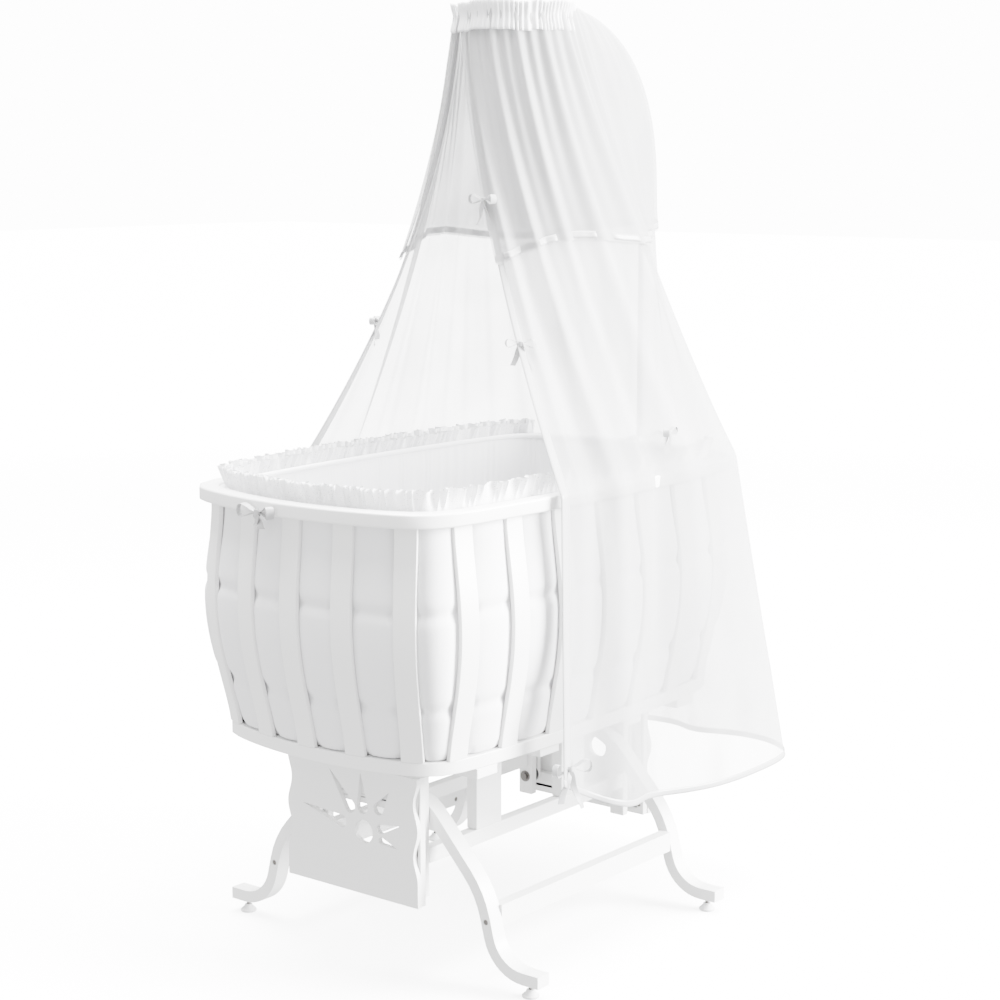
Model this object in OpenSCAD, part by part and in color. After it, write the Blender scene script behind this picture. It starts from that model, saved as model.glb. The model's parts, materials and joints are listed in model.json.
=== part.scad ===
// Swinging basket crib with a net canopy.
// Sizes in millimetres, Z up. X runs from the foot end to the head end, the front side faces -Y.

/* [Basket] */
// Length of the top rim
rim_length = 1040; // [980:10:1080]
// Width of the top rim
rim_width = 628; // [580:4:660]
// Height of the rim's top face above the floor
rim_top = 862; // [850:1:880]
// Height of the rim board
rim_height = 25; // [20:1:30]
// Width of the rim board, seen from above
rim_band = 30; // [26:1:36]
// Length of the base ring
base_length = 940; // [900:10:980]
// Width of the base ring
base_width = 568; // [540:4:600]
// Height of the base ring's underside above the floor
base_bottom = 406; // [404:1:410]
// Height of the base ring board
base_height = 24; // [20:1:26]

/* [Slats] */
// Width of each slat
slat_width = 40; // [30:1:46]
// Thickness of each slat
slat_thick = 9; // [8:0.5:11]
// How far a slat bows out past the line between its ends
slat_bow = 25; // [15:1:32]
// Distance between slats along a long side
slat_pitch_side = 125; // [110:1:130]
// Distance between slats across an end
slat_pitch_end = 110; // [96:1:112]

/* [Stand] */
// Distance from the middle of the stand to the inner face of a leg
leg_inner = 262; // [250:1:262]
// Thickness of a leg along the length of the crib
leg_thick = 32; // [26:1:32]
// Width of a leg, seen from the end
leg_width = 22; // [18:1:24]
// Height of a stretcher
stretcher_height = 38; // [30:1:42]
// Width of the decorative end panel
panel_width = 312; // [300:2:320]
// Thickness of the decorative end panel
panel_thick = 10; // [8:1:12]

/* [Swing] */
// Height of the upper pivots
pivot_top = 322; // [316:1:324]
// Height of the lower pivots
pivot_low = 178; // [172:1:184]
// Distance from the centre line to each pivot
pivot_side = 115; // [112:1:118]
// Radius of a pivot pin
pin_radius = 4; // [3:0.5:5]

/* [Levellers] */
// Radius of a foot pad
pad_radius = 15; // [12:1:18]
// Height of the gap between the floor and the underside of a leg's toe
toe_gap = 24; // [20:1:28]

/* [Canopy] */
// Height of the net's top edge
net_top = 1712; // [1600:1:1760]
// Radius of the hoop that holds the net
hoop_radius = 92; // [80:1:110]
// Distance from the basket's middle to the middle of the hoop
hoop_x = 108; // [60:1:140]
// Radius of the canopy pole
pole_radius = 8; // [6:0.5:10]

/* [Hidden] */

WHITE = "white";
CLOTH = "whitesmoke";
STEEL = "dimgray";
BLACK = "black";
SMOOTH = 48;             // facets that stand for a full circle in the preview

// plan outline of the basket: a rounded box with bowed sides and ends
CORNER = 14;             // sharpness of the corners
BOW_END = 0.11;          // how much the ends bow, as a part of the half length
BOW_SIDE = 0.085;        // how much the sides bow, as a part of the half width
PLAN_POINTS = 96;

// the net reaches past the basket at the head end, so the whole crib sits off the
// basket's own middle and the origin is under the middle of everything
NET_HEM_X = 596;         // half length of the hem's outline
NET_HEM_Y = 344;         // half width of the hem's outline
bow_gap = 0.5;           // bow's knot to the rim's face
bow_depth = 10;
shift_x = (rim_length / 2 + bow_gap + bow_depth - NET_HEM_X) / 2;

rim_a = rim_length / 2;
rim_b = rim_width / 2;
base_a = base_length / 2;
base_b = base_width / 2;
rim_bottom = rim_top - rim_height;
base_top = base_bottom + base_height;
slat_inset = 20;         // rim's outer edge to a slat's outer face

leg_outer = leg_inner + leg_thick;
leg_mid = leg_inner + leg_thick / 2;
bolt_y = 257;            // stretcher bolts
bolt_z = 119;
toe_y = 344;             // levelling feet
fit = 0.05;              // radial clearance of a running fit
post_fit = 0.02;         // clearance of a pressed or glued fit

hanger_inner = leg_outer + 2;
hanger_thick = 16;
hanger_outer = hanger_inner + hanger_thick;
hanger_width = 33;
hanger_bottom = 141;
bush_thick = 9;
bush_radius = 15.5;
bush_outer = hanger_outer + bush_thick;
link_inner = bush_outer + 0.5;
link_thick = 10;
link_outer = link_inner + link_thick;
link_width = 26;
frame_inner = link_outer + 1.5;
frame_thick = 14;
frame_outer = frame_inner + frame_thick;
panel_outer = frame_outer + panel_thick;

frame_width = 308;
frame_bottom = 138;
frame_top = 372;
frame_rail = 42;         // height of the frame's lower rail
upright = 22;
crossbar_bottom = 302;   // underside of the frame's upper rail

rail_z = 200;            // undercarriage rails
rail_height = 28;
rail_thick = 23;
bearer_height = 18;
bearer_bottom = base_bottom - bearer_height;
board_thick = 14;
mattress_bottom = base_bottom + board_thick;

pole_x = rim_a + 3 + pole_radius;
pole_wall = 1.5;
pole_bend = 308;         // radius of the pole's bend
pole_top = net_top - 17; // height of the pole's axis where it meets the hoop
pole_joint = 1150;       // where the two halves of the pole meet
pole_plug = 60;          // how far the upper half plugs into the lower half
pole_foot = 400;
hoop_wire = 4;
socket_radius = 10.5;

// ---- outline of the basket ----
function signed_unit(c, s) = pow(pow(abs(c), CORNER) + pow(abs(s), CORNER), 1 / CORNER);
function plan(a, b, phi) =
  let(r = signed_unit(cos(phi), sin(phi)), u = cos(phi) / r, v = sin(phi) / r)
  [a * u * (1 - BOW_END * v * v), b * v * (1 - BOW_SIDE * u * u)];
function outline(a, b, n = PLAN_POINTS) = [for (i = [0 : n - 1]) plan(a, b, 360 * i / n)];
function side_angle(x, a, side) = atan2(side, x / a);
function end_angle(y, b, end) = atan2(y / b, end);

module ring(a, b, band, h) {
  linear_extrude(h) difference() {
    polygon(outline(a, b));
    polygon(outline(a - band, b - band));
  }
}

// ---- closed solids from grids of points ----
// outer and inner are lists of rows from the bottom up; wrap joins the end of each row to its start
function grid_faces(rows, cols, base, flip, wrap) = [
  for (j = [0 : rows - 2], i = [0 : (wrap ? cols - 1 : cols - 2)])
    let(k = (i + 1) % cols, p = base + j * cols + i, q = base + j * cols + k, up = cols)
    for (f = flip ? [[p, q + up, q], [p, p + up, q + up]] : [[p, q, q + up], [p, q + up, p + up]]) f
];
function rim_faces(row, cols, base, flip, wrap) = [
  for (i = [0 : (wrap ? cols - 1 : cols - 2)])
    let(k = (i + 1) % cols, p = row * cols + i, q = row * cols + k)
    for (f = flip ? [[p, q, q + base], [p, q + base, p + base]]
                  : [[p, q + base, q], [p, p + base, q + base]]) f
];
function edge_faces(col, rows, cols, base, flip) = [
  for (j = [0 : rows - 2])
    let(p = j * cols + col, q = (j + 1) * cols + col)
    for (f = flip ? [[p, q + base, q], [p, p + base, q + base]]
                  : [[p, q, q + base], [p, q + base, p + base]]) f
];
module shell(outer, inner, wrap = false) {
  rows = len(outer);
  cols = len(outer[0]);
  base = rows * cols;
  points = concat([for (r = outer) each r], [for (r = inner) each r]);
  faces = concat(
    grid_faces(rows, cols, 0, true, wrap), grid_faces(rows, cols, base, false, wrap),
    rim_faces(0, cols, base, true, wrap), rim_faces(rows - 1, cols, base, false, wrap),
    wrap ? [] : edge_faces(0, rows, cols, base, true),
    wrap ? [] : edge_faces(cols - 1, rows, cols, base, false));
  polyhedron(points, faces, convexity = 6);
}

// ---- helpers ----
module place() translate([shift_x, 0, 0]) children();
// end: -1 foot, +1 head; side: -1 front, +1 back
module at_end(end) { if (end < 0) mirror([1, 0, 0]) children(); else children(); }
module at_side(side) { if (side < 0) mirror([0, 1, 0]) children(); else children(); }
module along_x(from, to, r) translate([from, 0, 0]) rotate([0, 90, 0]) cylinder(r = r, h = to - from, $fn = SMOOTH);
module block(x0, x1, y0, y1, z0, z1) translate([x0, y0, z0]) cube([x1 - x0, y1 - y0, z1 - z0]);

module across(x0, t) translate([x0, 0, 0]) rotate([90, 0, 90]) linear_extrude(t) children();

// ---- stand ----
// A leg's centre line in the plane of the end: straight and curved runs, each point with its heading
function ahead(h) = [cos(h), sin(h)];
function left_of(h) = [-sin(h), cos(h)];
function bend(p, h, turn, r, n) =
  let(s = sign(turn), c = p + s * r * left_of(h))
  [for (i = [0 : n]) let(g = h + turn * i / n) [c - s * r * left_of(g), g]];
function end_of(run) = run[len(run) - 1];
function past(run, d) = end_of(run)[0] + d * ahead(end_of(run)[1]);

CROWN_Y = 45;            // where the legs meet the crown block
SHOULDER = 47;           // slope of the leg below its shoulder
SHIN = 76;               // slope of the leg at the stretcher
TOE_END = 372;
toe_z = toe_gap + leg_width / 2;
crown_z = toe_z + 130 * (1 - cos(SHOULDER)) + 110 * sin(SHOULDER)
  + 170 * (cos(SHOULDER) - cos(SHIN)) + 34 * sin(SHIN) + 75 * (1 - cos(SHIN));
shoulder_run = bend([CROWN_Y, crown_z], 0, -SHOULDER, 130, 7);
shin_run = bend(past(shoulder_run, 110), -SHOULDER, SHOULDER - SHIN, 170, 4);
ankle_run = bend(past(shin_run, 34), -SHIN, SHIN, 75, 9);
leg_line = concat(shoulder_run, shin_run, ankle_run, [[[TOE_END, toe_z], 0]]);

bolt_radius = 3.5;
bolt_head_radius = 5;
bolt_recess = 6;
bolt_reach = 70;         // how far the bolt reaches into the stretcher
dowel_x = leg_inner - 32;
dowel_radius = 5;
insert_radius = 5;
insert_top = toe_gap + 12;
stem_radius = 3.5;
stem_bottom = 6;
stem_top = toe_gap + 16;

module leg(end, side) place() at_end(end) at_side(side) color(WHITE) difference() {
  across(leg_inner, leg_thick) polygon(concat(
    [for (p = leg_line) p[0] + leg_width / 2 * left_of(p[1])],
    [for (i = [len(leg_line) - 1 : -1 : 0]) leg_line[i][0] - leg_width / 2 * left_of(leg_line[i][1])]));
  translate([0, bolt_y, bolt_z]) {
    along_x(leg_inner - 1, leg_outer + 1, bolt_radius + fit);
    along_x(leg_outer - bolt_recess, leg_outer + 1, bolt_head_radius + 0.3);
  }
  translate([leg_mid, toe_y, toe_gap - 1]) cylinder(r = insert_radius + post_fit, h = stem_top + 2 - toe_gap, $fn = SMOOTH);
}

module crown_block(end) place() at_end(end) color(WHITE)
  block(leg_inner, frame_inner, -CROWN_Y, CROWN_Y, crown_z - 19, crown_z + 19);

module end_frame(end) place() at_end(end) color(WHITE) difference() {
  union() {
    for (side = [-1, 1]) at_side(side)
      block(frame_inner, frame_outer, frame_width / 2 - upright, frame_width / 2, frame_bottom, frame_top);
    block(frame_inner, frame_outer, -frame_width / 2, frame_width / 2, frame_bottom, frame_bottom + frame_rail);
    block(frame_inner, frame_outer, -frame_width / 2, frame_width / 2, crossbar_bottom, frame_top);
  }
  for (side = [-1, 1]) translate([0, side * pivot_side, pivot_top])
    along_x(frame_inner - 1, frame_outer + 1, pin_radius + fit);
  for (s = screw_spots) translate([0, s[0], s[1]]) {
    along_x(frame_inner - 1, frame_outer + 1, screw_radius + post_fit);
    along_x(frame_inner - 1, frame_inner + screw_head, screw_radius * 2 + 0.2);
  }
}
screw_radius = 2;
screw_head = 3;
screw_reach = 2;         // what the screw leaves of the panel's thickness
screw_spots = [for (side = [-1, 1], z = [frame_bottom + 20, 230, frame_top - 20])
  [side * (frame_width - upright) / 2, z]];

// One scallop on each side of the panel for every stretch between its cusps
SCALLOP_DEPTH = 10;
SCALLOPS = 2;
scallop_from = frame_bottom + frame_rail + 2;
function scallop(t) = SCALLOP_DEPTH * (1 - cos(360 * SCALLOPS * t)) / 2;
function panel_edge() = [for (i = [0 : 32]) let(t = i / 32)
  [panel_width / 2 - scallop(t), scallop_from + (frame_top - scallop_from) * t]];
// Each petal: direction, where its round end starts, where its point is, width of the round end
PETALS = [[51, 40, 132, 24], [86, 32, 108, 26], [126, 48, 102, 23], [163, 32, 88, 17], [192, 36, 82, 13], [10, 42, 150, 23]];
SUN_Y = -30;
SUN_Z = 254;
SUN_RADIUS = 21;
function petal(angle, from, tip, width) =
  let(r = width / 2, c = from + r, a = acos(r / (tip - c)))
  [for (p = concat([[tip, 0]], [for (i = [0 : 20]) [c, 0] + r * ahead(a + (360 - 2 * a) * i / 20)]))
    [p[0] * cos(angle) - p[1] * sin(angle), p[0] * sin(angle) + p[1] * cos(angle)]];
module panel_shape() difference() {
  polygon(concat(
    [[-panel_width / 2, frame_bottom], [panel_width / 2, frame_bottom]], panel_edge(),
    [for (i = [32 : -1 : 0]) let(p = panel_edge()[i]) [-p[0], p[1]]]));
  translate([SUN_Y, SUN_Z]) {
    circle(r = SUN_RADIUS, $fn = SMOOTH);
    for (p = PETALS) polygon(petal(p[0], p[1], p[2], p[3]));
  }
}
module panel(end) place() at_end(end) color(WHITE) difference() {
  across(frame_outer, panel_thick) panel_shape();
  for (s = screw_spots) translate([0, s[0], s[1]])
    along_x(frame_outer - 1, panel_outer - screw_reach, screw_radius + post_fit);
}
module panel_screws() place() color(STEEL)
  for (end = [-1, 1], s = screw_spots) at_end(end) translate([0, s[0], s[1]]) {
    along_x(frame_inner, frame_inner + screw_head, screw_radius * 2);
    along_x(frame_inner + screw_head, panel_outer - screw_reach, screw_radius);
  }

module stretcher(side) place() at_side(side) color(WHITE) difference() {
  block(-leg_inner, leg_inner, bolt_y - leg_width / 2, bolt_y + leg_width / 2,
    bolt_z + 6 - stretcher_height / 2, bolt_z + 6 + stretcher_height / 2);
  for (end = [-1, 1]) at_end(end) {
    translate([0, bolt_y, bolt_z]) along_x(leg_inner - bolt_reach - 1, leg_inner + 1, bolt_radius + fit);
    translate([dowel_x, bolt_y - leg_width / 2 - 1, bolt_z]) rotate([-90, 0, 0])
      cylinder(r = dowel_radius + post_fit, h = leg_width - 3, $fn = SMOOTH);
  }
}
module leg_bolts() place() color(STEEL)
  for (end = [-1, 1], side = [-1, 1]) at_end(end) at_side(side) translate([0, bolt_y, bolt_z]) {
    along_x(leg_inner - bolt_reach, leg_outer - bolt_recess, bolt_radius);
    along_x(leg_outer - bolt_recess, leg_outer - 1, bolt_head_radius);
  }
module cross_dowels() place() color(STEEL)
  for (end = [-1, 1], side = [-1, 1]) at_end(end) at_side(side) difference() {
    translate([dowel_x, bolt_y - leg_width / 2 + 0.5, bolt_z]) rotate([-90, 0, 0])
      cylinder(r = dowel_radius, h = leg_width - 5, $fn = SMOOTH);
    translate([0, bolt_y, bolt_z]) along_x(dowel_x - 10, dowel_x + 10, bolt_radius + post_fit);
  }
module thread_inserts() place() color(STEEL)
  for (end = [-1, 1], side = [-1, 1]) at_end(end) at_side(side) translate([leg_mid, toe_y, 0]) difference() {
    translate([0, 0, toe_gap]) cylinder(r = insert_radius, h = insert_top - toe_gap, $fn = SMOOTH);
    translate([0, 0, toe_gap - 1]) cylinder(r = stem_radius + fit, h = 20, $fn = SMOOTH);
  }
pin_head = 4;
module upper_pins() place() color(STEEL)
  for (end = [-1, 1], side = [-1, 1]) at_end(end) translate([0, side * pivot_side, pivot_top]) {
    along_x(link_inner - 0.3, frame_outer, pin_radius);
    along_x(link_inner - 0.3 - pin_head, link_inner - 0.3, pin_radius + 3.5);
  }

// ---- levelling feet ----
module leveller_stem(end, side) place() at_end(end) at_side(side) color(STEEL)
  translate([leg_mid, toe_y, stem_bottom]) cylinder(r = stem_radius, h = stem_top - stem_bottom, $fn = SMOOTH);
module leveller_pad(end, side) place() at_end(end) at_side(side) color(WHITE)
  translate([leg_mid, toe_y, 0]) rotate_extrude($fn = SMOOTH) polygon([
    [0, 0], [pad_radius - 1, 0], [pad_radius, 1.5], [pad_radius, 4], [pad_radius - 2, 6], [8, 11],
    [7, 14], [stem_radius + post_fit, 14], [stem_radius + post_fit, stem_bottom], [0, stem_bottom]]);

// ---- swing links ----
module link(end, side) place() at_end(end) color(WHITE) difference() {
  across(link_inner, link_thick) union() {
    for (z = [pivot_low, pivot_top]) translate([side * pivot_side, z]) circle(d = link_width, $fn = SMOOTH);
    translate([side * pivot_side - link_width / 2, pivot_low]) square([link_width, pivot_top - pivot_low]);
  }
  for (z = [pivot_low, pivot_top]) translate([0, side * pivot_side, z])
    along_x(link_inner - 1, link_outer + 1, pin_radius + fit);
  translate([0, side * pivot_side, pivot_low]) along_x(link_outer - 3.5, link_outer + 1, 7.5);
}

// ---- basket ----
module top_rim() place() color(WHITE) translate([0, 0, rim_bottom]) ring(rim_a, rim_b, rim_band, rim_height);
module base_ring() place() color(WHITE) translate([0, 0, base_bottom]) ring(base_a, base_b, rim_band, base_height);

function outward(a, b, phi) =
  let(d = plan(a, b, phi + 0.2) - plan(a, b, phi - 0.2)) atan2(-d[0], d[1]);
// how far a slat stands out between its ends, at a share of its height
function swell(f) = slat_bow * pow(sin(180 * f), 1.4);
module slat(phi_low, phi_high) {
  low = plan(base_a, base_b, phi_low);
  high = plan(rim_slat_a, rim_slat_b, phi_high);
  turn = outward(rim_a, rim_b, phi_high);
  lean = (high - low) * ahead(turn);
  tall = rim_bottom - base_top;
  face = [for (i = [0 : 24]) let(f = i / 24) [lean * f + swell(f), tall * f]];
  translate([low[0], low[1], base_top]) rotate([0, 0, turn]) rotate([90, 0, 0])
    translate([0, 0, -slat_width / 2]) linear_extrude(slat_width)
      polygon(concat(face, [for (i = [24 : -1 : 0]) face[i] - [slat_thick, 0]]));
}
rim_slat_a = rim_a - slat_inset;
rim_slat_b = rim_b - slat_inset;
module slats_on_side(side) place() color(WHITE) for (i = [-3 : 3]) {
  x = i * slat_pitch_side / (1 - BOW_END);
  slat(side_angle(x, base_a, side), side_angle(x, rim_slat_a, side));
}
module slats_on_end(end) place() color(WHITE) for (j = [-2 : 2]) {
  y = j * slat_pitch_end / (1 - BOW_SIDE);
  slat(end_angle(y * base_b / rim_slat_b, base_b, end), end_angle(y, rim_slat_b, end));
}

module bed_board() place() color(WHITE) translate([0, 0, base_bottom])
  linear_extrude(board_thick) polygon(outline(base_a - rim_band - 0.5, base_b - rim_band - 0.5));
bearer_x = hanger_inner + hanger_thick / 2;
post_x = 128;
post_width = 72;
module bearers() place() color(WHITE) for (x = [-bearer_x, -post_x, post_x, bearer_x])
  block(x - 28, x + 28, 14 - base_b, base_b - 14, bearer_bottom, base_bottom);
rail_y = pivot_side + hanger_width / 2 - rail_thick;
module under_rail(side) place() at_side(side) color(WHITE)
  block(-hanger_inner, hanger_inner, rail_y, rail_y + rail_thick, rail_z, rail_z + rail_height);
module rail_posts() place() color(WHITE) for (x = [-post_x, post_x], side = [-1, 1]) at_side(side)
  block(x - post_width / 2, x + post_width / 2, rail_y, rail_y + rail_thick, rail_z + rail_height, bearer_bottom);
module hangers(end) place() at_end(end) color(WHITE) for (side = [-1, 1]) at_side(side) difference() {
  block(hanger_inner, hanger_outer, pivot_side - hanger_width / 2, pivot_side + hanger_width / 2,
    hanger_bottom, bearer_bottom);
  translate([0, pivot_side, pivot_low]) along_x(hanger_inner - 1, hanger_outer + 1, pin_radius + fit);
}
washer_thick = 2;
module lower_pins() place() color(STEEL)
  for (end = [-1, 1], side = [-1, 1]) at_end(end) translate([0, side * pivot_side, pivot_low]) {
    along_x(hanger_inner - washer_thick - pin_head, hanger_inner - washer_thick, pin_radius + 3);
    along_x(hanger_inner - washer_thick, link_outer - 3.2, pin_radius);
    along_x(link_outer - 3.2, link_outer - 0.5, pin_radius + 3);
  }
module pin_washers() place() color(STEEL)
  for (end = [-1, 1], side = [-1, 1]) at_end(end) translate([0, side * pivot_side, pivot_low]) difference() {
    along_x(hanger_inner - washer_thick, hanger_inner, 11.5);
    along_x(hanger_inner - 5, hanger_inner + 1, pin_radius + post_fit);
  }
module spacer_bushes() place() color(BLACK)
  for (end = [-1, 1], side = [-1, 1]) at_end(end) translate([0, side * pivot_side, pivot_low]) difference() {
    along_x(hanger_outer, bush_outer, bush_radius);
    along_x(hanger_outer - 1, bush_outer + 1, pin_radius + post_fit);
  }

// ---- bedding ----
liner_thick = 24;
liner_bottom = base_top + 0.3;
liner_top = rim_top - 4;
bumper_thick = 10;
bumper_bottom = 560;
bumper_top = rim_top + 8;
function rise(z) = min(1, (z - base_top) / (rim_bottom - base_top));
// outline of the space inside the slats at a height, drawn in by d
function inside(z, d) =
  let(f = max(0, rise(z)), bow = swell(f))
  [for (p = outline(base_a - slat_thick - 2 + 30 * f + bow - d, base_b - slat_thick - 2 + 10 * f + bow - d, 72))
    [p[0], p[1], z]];
function levels(from, to, n) = [for (i = [0 : n]) from + (to - from) * i / n];
mattress_height = 78;
module mattress() place() color(CLOTH) translate([0, 0, mattress_bottom])
  linear_extrude(mattress_height) polygon(outline(base_a - rim_band - 2, base_b - rim_band - 2, 72));
module padded_liner() place() color(CLOTH) shell(
  [for (z = levels(liner_bottom, liner_top, 10)) inside(z, 0)],
  [for (z = levels(liner_bottom, liner_top, 10)) inside(z, z < base_top + 60 ? 20 : liner_thick)], wrap = true);
module gathered_bumper() place() color(CLOTH) shell(
  [for (z = levels(bumper_bottom, bumper_top, 5)) inside(z, liner_thick + 2)],
  [for (z = levels(bumper_bottom, bumper_top, 5)) inside(z, liner_thick + 2 + bumper_thick)], wrap = true);
RUFFLE_FROM = 40;        // where the ruffle starts, as a direction from the middle
ruffle_inset = 36;
ruffle_thick = 14;
ruffle_bottom = liner_top + 0.3;
ruffle_top = rim_top + 36;
function strip(a, b, from, to, n, z) = [for (i = [0 : n])
  let(p = plan(a, b, from + (to - from) * i / n)) [p[0], p[1], z]];
module ruffle() place() color(CLOTH) shell(
  [for (z = [ruffle_bottom, ruffle_top])
    strip(rim_a - ruffle_inset, rim_b - ruffle_inset, RUFFLE_FROM, 360 - RUFFLE_FROM, 80, z)],
  [for (z = [ruffle_bottom, ruffle_top])
    strip(rim_a - ruffle_inset - ruffle_thick, rim_b - ruffle_inset - ruffle_thick, RUFFLE_FROM, 360 - RUFFLE_FROM, 80, z)]);
bow_y = 52;
module rim_bow() place() color(CLOTH) difference() {
  intersection() {
    block(-rim_a - bow_gap - bow_depth, -rim_a + 6, bow_y - 36, bow_y + 36, rim_bottom - 12, rim_top - 4);
    translate([-rim_a, bow_y, rim_bottom + 6]) for (side = [-1, 1]) at_side(side)
      rotate([-90, 0, 0]) cylinder(r1 = 9, r2 = 16, h = 36, $fn = SMOOTH);
  }
  translate([0, 0, rim_bottom - 20]) linear_extrude(60) polygon(outline(rim_a + bow_gap, rim_b + bow_gap));
}

// ---- canopy ----
clamp_half = 15;
jaw = 6.5;
jaw_reach = 16;
clamp_outer = pole_x + pole_radius + 2;
module pole_bore(z0, z1) translate([pole_x, 0, z0]) cylinder(r = pole_radius + fit, h = z1 - z0, $fn = SMOOTH);
module pole_clamps() place() color(WHITE) {
  difference() {
    union() {
      block(rim_a + 0.4, clamp_outer, -clamp_half, clamp_half, rim_bottom - jaw - 0.5, rim_top + jaw + 0.5);
      for (z = [rim_bottom - jaw - 0.5, rim_top + 0.5])
        block(rim_a - jaw_reach, rim_a + 1, -clamp_half, clamp_half, z, z + jaw);
    }
    pole_bore(rim_bottom - 20, rim_top + 20);
  }
  difference() {
    block(base_a + 0.4, clamp_outer, -clamp_half, clamp_half, base_bottom + 2, base_top - 2);
    pole_bore(base_bottom - 20, base_top + 20);
  }
}
module clamp_screws() place() color(STEEL) for (z = [(rim_bottom + rim_top) / 2, (base_bottom + base_top) / 2])
  translate([0, 0, z]) along_x(clamp_outer, clamp_outer + 1.5, 5);
module pole_lower() place() color(WHITE) translate([pole_x, 0, pole_foot]) difference() {
  cylinder(r = pole_radius, h = pole_joint - pole_foot, $fn = SMOOTH);
  translate([0, 0, 3]) cylinder(r = pole_radius - pole_wall, h = pole_joint - pole_foot, $fn = SMOOTH);
}
bend_x = pole_x - pole_bend;
bend_z = pole_top - pole_bend;
socket_inner = hoop_x + hoop_radius + hoop_wire + 1;
module pole_upper() place() color(WHITE) {
  translate([pole_x, 0, pole_joint - pole_plug]) cylinder(r = pole_radius - pole_wall - fit, h = pole_plug, $fn = SMOOTH);
  translate([pole_x, 0, pole_joint]) cylinder(r = pole_radius, h = bend_z - pole_joint, $fn = SMOOTH);
  translate([bend_x, 0, bend_z]) rotate([90, 0, 0]) rotate_extrude(angle = 90, $fn = 96)
    translate([pole_bend, 0]) circle(r = pole_radius, $fn = SMOOTH);
  translate([0, 0, pole_top]) along_x(socket_inner + 2, bend_x, pole_radius);
}
module hoop() place() color(WHITE) difference() {
  union() {
    translate([hoop_x, 0, pole_top]) rotate_extrude($fn = 96) translate([hoop_radius, 0]) circle(r = hoop_wire, $fn = SMOOTH);
    translate([0, 0, pole_top]) along_x(hoop_x + hoop_radius, bend_x - 1, socket_radius);
  }
  translate([0, 0, pole_top]) along_x(socket_inner + 1.8, bend_x, pole_radius + fit);
}

// The net hangs from the hoop, over the pole at the head end and outside the rim, down to its hem.
// A share s runs round it from the front edge at the front (-1) to the one at the back (1).
NET_TURN = [107, -2.5];  // direction at the rim, by the share and by its square
HOOP_TURN = [175, -30];  // direction at the hoop
NET_A = 546;
NET_B = 328;
CROWN_FALL = 330;        // height over which the head end curves from the hoop to the pole
CROWN_POWER = 2.3;
RIDGE_POWER = 16;        // narrowness of the ridge over the pole
HANG_POWER = [1.15, 0.55]; // slackness of the sides, and how much more there is at the front edges
HEM_FLARE = [0.08, 0.2]; // how much the hem's corners stand out
HEM_Z = [250, 108];      // height of the hem, and how much higher its front corners are
net_thick = 3;
net_ring = hoop_radius + hoop_wire + 1;
function hem_z(s) = HEM_Z[0] + HEM_Z[1] * pow(abs(s), 7);
function blend(a, b, t) = a + (b - a) * t;
function turned(k, s) = k[0] * s + k[1] * s * s;
function flared(p, phi) =
  let(c = pow(abs(sin(2 * phi)), 6))
  [p[0] * (1 + HEM_FLARE[0] * c), p[1] * (1 + HEM_FLARE[1] * c)];
function net_point(s, z, off) =
  let(phi = turned(NET_TURN, s), swept = turned(HOOP_TURN, s),
      w = pow(max(0, cos(phi)), RIDGE_POWER),
      r = net_ring + net_thick + off,
      top = [hoop_x + r * cos(swept), r * sin(swept)],
      edge = plan(NET_A + off, NET_B + off, phi),
      hem = flared(plan(NET_HEM_X + off, NET_HEM_Y + off, phi), phi),
      t = max(0, net_top - z) / (net_top - rim_top),
      hang = pow(t, HANG_POWER[0] + HANG_POWER[1] * s * s),
      fall = min(1, (net_top - z) / CROWN_FALL),
      arch = pow(1 - pow(1 - fall, CROWN_POWER), 1 / CROWN_POWER),
      p = z >= rim_top ? blend(top, edge, (1 - w) * hang + w * arch)
                       : blend(edge, hem, (rim_top - z) / (rim_top - hem_z(s))))
  [p[0], p[1], z];
crown_levels = [for (i = [6 : -1 : 0]) net_top - CROWN_FALL * pow(i / 6, 1.6)];
function net_row(from, to, z, off) =
  let(n = round((to - from) * NET_STEPS))
  [for (i = [0 : n]) net_point(blend(from, to, i / n), z, off)];
function net_skirt(from, to, k, off) =
  let(n = round((to - from) * NET_STEPS))
  [for (i = [0 : n]) let(s = blend(from, to, i / n)) net_point(s, blend(hem_z(s), rim_top, k), off)];
function net_rows(from, to, off) = concat(
  [for (k = [0 : 2]) net_skirt(from, to, k / 3, off)],
  [for (z = concat(levels(rim_top, 1200, 3), crown_levels)) net_row(from, to, z, off)]);
module net_panel(from, to) place() color(CLOTH) shell(net_rows(from, to, 0), net_rows(from, to, -net_thick));
NET_STEPS = 40;          // facets for each half of the net
NET_SPLIT = 0.35;        // where the front, head and back panels meet
HOOD_GAP = 9;
HOOD_HEM = 1285;
hood_levels = concat([HOOD_HEM], crown_levels);
module net_hood() place() color(CLOTH) shell(
  [for (z = hood_levels) net_row(-1, 1, z, HOOD_GAP)],
  [for (z = hood_levels) net_row(-1, 1, z, HOOD_GAP - net_thick)]);

leg(-1, -1);  // leg_foot_front
leg(-1, 1);  // leg_foot_back
leg(1, -1);  // leg_head_front
leg(1, 1);  // leg_head_back
crown_block(-1);  // crown_block_foot
crown_block(1);  // crown_block_head
end_frame(-1);  // end_frame_foot
end_frame(1);  // end_frame_head
panel(-1);  // panel_foot
panel(1);  // panel_head
stretcher(-1);  // stretcher_front
stretcher(1);  // stretcher_back
leg_bolts();
cross_dowels();
panel_screws();
thread_inserts();
upper_pins();
leveller_stem(-1, -1);  // leveller_stem_foot_front
leveller_stem(-1, 1);  // leveller_stem_foot_back
leveller_stem(1, -1);  // leveller_stem_head_front
leveller_stem(1, 1);  // leveller_stem_head_back
leveller_pad(-1, -1);  // leveller_pad_foot_front
leveller_pad(-1, 1);  // leveller_pad_foot_back
leveller_pad(1, -1);  // leveller_pad_head_front
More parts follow.
